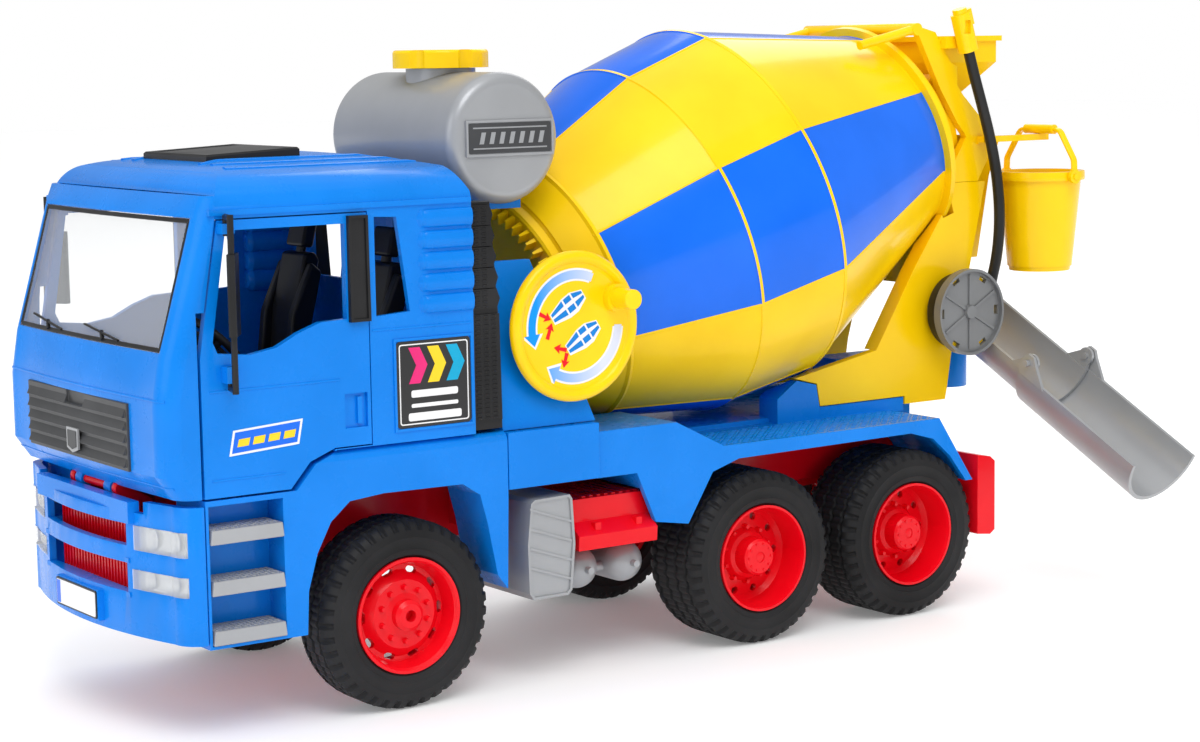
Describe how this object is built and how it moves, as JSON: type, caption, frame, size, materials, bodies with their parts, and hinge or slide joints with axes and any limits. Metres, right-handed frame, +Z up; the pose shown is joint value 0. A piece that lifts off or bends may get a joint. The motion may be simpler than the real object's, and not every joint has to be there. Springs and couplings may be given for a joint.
{
  "type": "toy vehicle",
  "caption": "Moulded plastic toy cement mixer truck with tilting cab, hand-cranked turning drum, swivelling folding chute, hose reel and hanging bucket.",
  "frame": {"origin": "on the ground, on the centre plane, directly below the front axle", "axes": "+Y runs from the cab to the tail, +Z is up, +X is the vehicle's left"},
  "size_m": [0.2379, 0.5286, 0.29],
  "materials": {
    "blue_body": "smooth gloss moulded azure blue",
    "drum_blue": "glossy deep blue panel film",
    "yellow": "gloss moulded warm yellow",
    "red": "gloss moulded red",
    "black": "satin black",
    "dark_grey": "satin dark grey",
    "mid_grey": "satin mid grey",
    "silver": "silver moulded plastic",
    "white": "white label film",
    "tyre": "soft black tyre",
    "glass": "clear, slightly smoked",
    "lens": "clear ribbed lens",
    "steel": "bright axle",
    "hose_black": "soft black hose"
  },
  "bodies": {
    "truck": {"chassis_frame": "red", "front_bumper": "blue_body", "engine_block": "red", "headlight_lenses": "lens", "front_fenders": "blue_body", "step_treads": "silver", "fuel_tanks": "silver", "battery_boxes": "red", "air_tanks": "silver", "rear_deck": "blue_body", "drive_bracket": "blue_body", "rear_support": "yellow", "hopper": "yellow", "water_tank": "silver", "hose": "hose_black", "hose_coil": "hose_black", "hose_nozzle": "yellow"},
    "cab": {"cab_shell": "blue_body", "windscreen": "glass", "grille": "dark_grey", "roof_hatch": "black", "air_intakes": "black", "dashboard": "black", "seats": "black"},
    "steering": {"steering_wheel": "black"},
    "door_l": {"door_left": "blue_body", "pillar_trim_left": "black"},
    "door_r": {"door_right": "blue_body", "pillar_trim_right": "black"},
    "mirror_l": {"mirror_left": "black"},
    "mirror_r": {"mirror_right": "black"},
    "front_wheels": {"front_axle": "steel", "front_tyre_left": "tyre", "front_tyre_right": "tyre", "front_rim_left": "red", "front_rim_right": "red"},
    "mid_wheels": {"mid_axle": "steel", "mid_tyre_left": "tyre", "mid_tyre_right": "tyre", "mid_rim_left": "red", "mid_rim_right": "red"},
    "rear_wheels": {"rear_axle": "steel", "rear_tyre_left": "tyre", "rear_tyre_right": "tyre", "rear_rim_left": "red", "rear_rim_right": "red"},
    "drum": {"drum_shell": "yellow", "drum_blades": "yellow", "crown_gear": "yellow"},
    "crank": {"crank_disc": "yellow", "crank_knob": "yellow", "drive_pinion": "yellow"},
    "cap": {"tank_cap": "yellow"},
    "chute_base": {"chute_bracket": "silver"},
    "chute_top": {"chute_upper": "silver"},
    "chute_end": {"chute_lower": "silver"},
    "reel": {"hose_reel": "mid_grey", "reel_spool": "yellow"},
    "bail": {"bucket_handle": "yellow"},
    "pail": {"bucket": "yellow"}
  },
  "joints": [
    {"name": "front_axle_spin", "type": "hinge", "parent": "truck", "child": "front_wheels", "pos_m": [0, 0, 0.04], "axis": [1, 0, 0], "continuous": true},
    {"name": "mid_axle_spin", "type": "hinge", "parent": "truck", "child": "mid_wheels", "pos_m": [0, 0.1882, 0.04], "axis": [1, 0, 0], "continuous": true},
    {"name": "rear_axle_spin", "type": "hinge", "parent": "truck", "child": "rear_wheels", "pos_m": [0, 0.279, 0.04], "axis": [1, 0, 0], "continuous": true},
    {"name": "cab_tilt", "type": "hinge", "parent": "truck", "child": "cab", "pos_m": [0, -0.1015, 0.0975], "axis": [1, 0, 0], "range_deg": [0, 45]},
    {"name": "steering_spin", "type": "hinge", "parent": "cab", "child": "steering", "pos_m": [0.038, -0.066, 0.156], "axis": [0, 0.7071, 0.7071], "continuous": true},
    {"name": "door_left_hinge", "type": "hinge", "parent": "cab", "child": "door_l", "pos_m": [0.0778, -0.0902, 0.15], "axis": [0, 0, 1], "range_deg": [-60, 0]},
    {"name": "door_right_hinge", "type": "hinge", "parent": "cab", "child": "door_r", "pos_m": [-0.0778, -0.0902, 0.15], "axis": [0, 0, 1], "range_deg": [0, 60]},
    {"name": "mirror_left_fold", "type": "hinge", "parent": "door_l", "child": "mirror_l", "pos_m": [0.0816, -0.08, 0.176], "axis": [0, 0, 1], "range_deg": [-65, 8]},
    {"name": "mirror_right_fold", "type": "hinge", "parent": "door_r", "child": "mirror_r", "pos_m": [-0.0816, -0.08, 0.176], "axis": [0, 0, 1], "range_deg": [-8, 65]},
    {"name": "drum_turn", "type": "hinge", "parent": "truck", "child": "drum", "pos_m": [0, 0.2, 0.1878], "axis": [0, 0.9537, 0.3007], "continuous": true},
    {"name": "crank_turn", "type": "hinge", "parent": "truck", "child": "crank", "pos_m": [0.077, 0.086, 0.1545], "axis": [1, 0, 0], "continuous": true},
    {"name": "tank_cap_lift", "type": "slide", "parent": "truck", "child": "cap", "axis": [0, 0, 1], "range_m": [0, 0.03]},
    {"name": "chute_swivel", "type": "hinge", "parent": "truck", "child": "chute_base", "pos_m": [0, 0.372, 0.119], "axis": [0, 0, 1], "range_deg": [0, 150]},
    {"name": "chute_tilt", "type": "hinge", "parent": "chute_base", "child": "chute_top", "pos_m": [-0.00434, 0.37174, 0.14462], "axis": [0.0593, -0.9982, 0], "range_deg": [-2, 6]},
    {"name": "chute_fold", "type": "hinge", "parent": "chute_top", "child": "chute_end", "pos_m": [0.07805, 0.37664, 0.11619], "axis": [0.0593, -0.9982, 0], "range_deg": [0, 110]},
    {"name": "reel_spin", "type": "hinge", "parent": "truck", "child": "reel", "pos_m": [0.05, 0.336, 0.141], "axis": [1, 0, 0], "continuous": true},
    {"name": "bail_lift", "type": "slide", "parent": "truck", "child": "bail", "axis": [0, 0, 1], "range_m": [0, 0.012]},
    {"name": "bucket_swing", "type": "hinge", "parent": "bail", "child": "pail", "pos_m": [0.047, 0.393, 0.2056], "axis": [1, 0, 0], "range_deg": [-4, 25]}
  ],
  "couplings": [
    {"joint": "crank_turn", "follows": "drum_turn", "ratio": -3.875}
  ]
}
